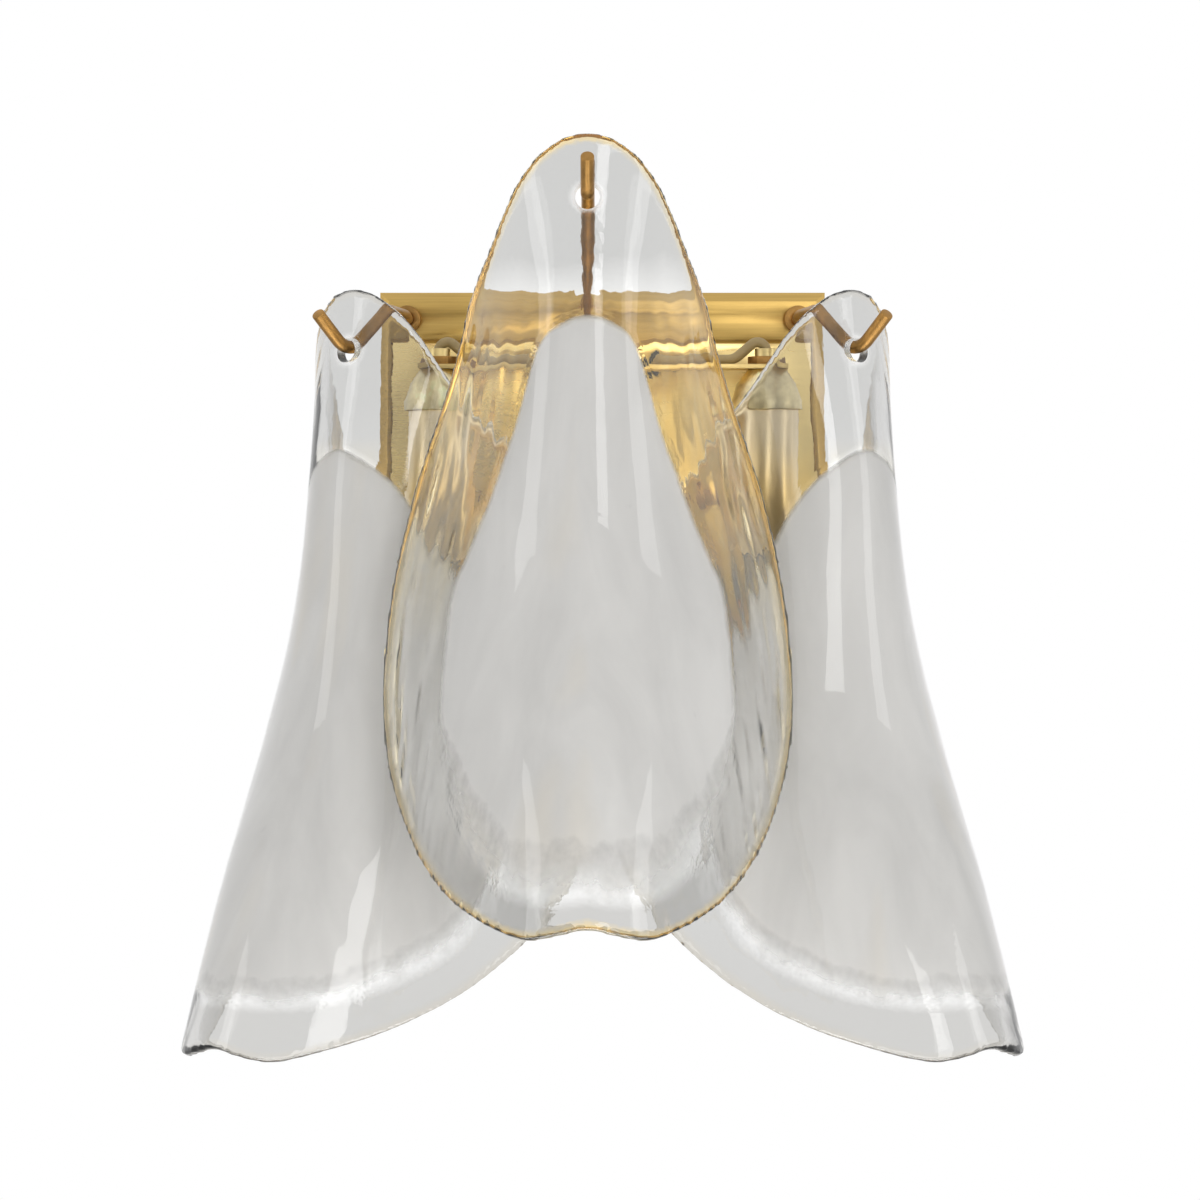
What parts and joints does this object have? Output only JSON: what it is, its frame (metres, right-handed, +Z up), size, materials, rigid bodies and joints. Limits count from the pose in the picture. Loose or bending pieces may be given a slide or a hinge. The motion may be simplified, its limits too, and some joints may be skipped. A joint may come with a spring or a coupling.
{
  "type": "wall sconce",
  "caption": "Wall light with a square brass back plate, downward lampholders and folded clear glass petals with milky cores that hang from brass hooks.",
  "frame": {"origin": "centre of the back plate's wall side, midway between the wall screw slots", "axes": "+Z up, +Y into the wall, -Y out into the room, +X to the right as seen from the room"},
  "size_m": [0.3558, 0.3012, 0.3757],
  "materials": {
    "satin_brass": "satin brushed",
    "aged_brass": "aged, semi-matt",
    "brushed_brass": "brushed",
    "bright_brass": "plain",
    "olive_metal": "satin",
    "zinc_steel": "zinc",
    "lamp_cap_metal": "bright",
    "petal_glass": "hammered, clear at the rims with a milky core",
    "bulb_glass": "clear",
    "filament_yellow": "phosphor-coated strip",
    "socket_ceramic": "glazed insulator",
    "white_plastic": "moulded",
    "black_rubber": "matt",
    "clear_sleeve": "glass-fibre sleeving"
  },
  "bodies": {
    "back_plate": {"back_tray": "satin_brass", "front_cover": "satin_brass", "wall_plate": "zinc_steel", "wall_studs": "zinc_steel", "stud_washers": "aged_brass", "cap_nuts": "aged_brass", "cable_bush": "black_rubber", "terminal_block": "white_plastic", "terminal_clamps": "bright_brass", "earth_screw": "bright_brass", "hook_collars": "aged_brass", "hook_nuts": "zinc_steel", "hook_centre": "aged_brass", "hook_left": "aged_brass", "hook_right": "aged_brass", "lamp_bar": "olive_metal", "bar_screws": "aged_brass", "bar_nuts": "zinc_steel", "lead_grommets": "black_rubber", "nipple_left": "zinc_steel", "nipple_nut_left": "aged_brass", "dome_cap_left": "olive_metal", "cover_tube_left": "brushed_brass", "socket_body_left": "socket_ceramic", "socket_shell_left": "bright_brass", "socket_contact_left": "bright_brass", "lead_left": "clear_sleeve", "nipple_right": "zinc_steel", "nipple_nut_right": "aged_brass", "dome_cap_right": "olive_metal", "cover_tube_right": "brushed_brass", "socket_body_right": "socket_ceramic", "socket_shell_right": "bright_brass", "socket_contact_right": "bright_brass", "lead_right": "clear_sleeve"},
    "petal_centre": {"petal_centre": "petal_glass"},
    "petal_left": {"petal_left": "petal_glass"},
    "petal_right": {"petal_right": "petal_glass"},
    "lamp_travel_left": {"lamp_button_left": "lamp_cap_metal"},
    "lamp_left": {"lamp_cap_left": "lamp_cap_metal", "bulb_left": "bulb_glass", "bulb_stem_left": "bulb_glass", "filaments_left": "filament_yellow"},
    "lamp_travel_right": {"lamp_button_right": "lamp_cap_metal"},
    "lamp_right": {"lamp_cap_right": "lamp_cap_metal", "bulb_right": "bulb_glass", "bulb_stem_right": "bulb_glass", "filaments_right": "filament_yellow"}
  },
  "joints": [
    {"name": "petal_centre_swing", "type": "hinge", "parent": "back_plate", "child": "petal_centre", "pos_m": [-0.006, -0.211, 0.1195], "axis": [1, 0, 0], "range_deg": [-5, 1.2]},
    {"name": "petal_left_swing", "type": "hinge", "parent": "back_plate", "child": "petal_left", "pos_m": [-0.1065, -0.114, 0.063], "axis": [0.7771, -0.6293, 0], "range_deg": [-2, 1.2]},
    {"name": "petal_right_swing", "type": "hinge", "parent": "back_plate", "child": "petal_right", "pos_m": [0.1065, -0.114, 0.063], "axis": [0.7771, 0.6293, 0], "range_deg": [-2, 1.2]},
    {"name": "lamp_left_travel", "type": "slide", "parent": "back_plate", "child": "lamp_travel_left", "axis": [0, 0, -1], "range_m": [0, 0.0114]},
    {"name": "lamp_left_turn", "type": "hinge", "parent": "lamp_travel_left", "child": "lamp_left", "pos_m": [-0.071, -0.055, 0], "axis": [0, 0, -1], "range_deg": [0, 1440]},
    {"name": "lamp_right_travel", "type": "slide", "parent": "back_plate", "child": "lamp_travel_right", "axis": [0, 0, -1], "range_m": [0, 0.0114]},
    {"name": "lamp_right_turn", "type": "hinge", "parent": "lamp_travel_right", "child": "lamp_right", "pos_m": [0.071, -0.055, 0], "axis": [0, 0, -1], "range_deg": [0, 1440]}
  ],
  "couplings": [
    {"joint": "lamp_left_travel", "follows": "lamp_left_turn", "m_per_rad": 0.00044882},
    {"joint": "lamp_right_travel", "follows": "lamp_right_turn", "m_per_rad": 0.00044882}
  ]
}
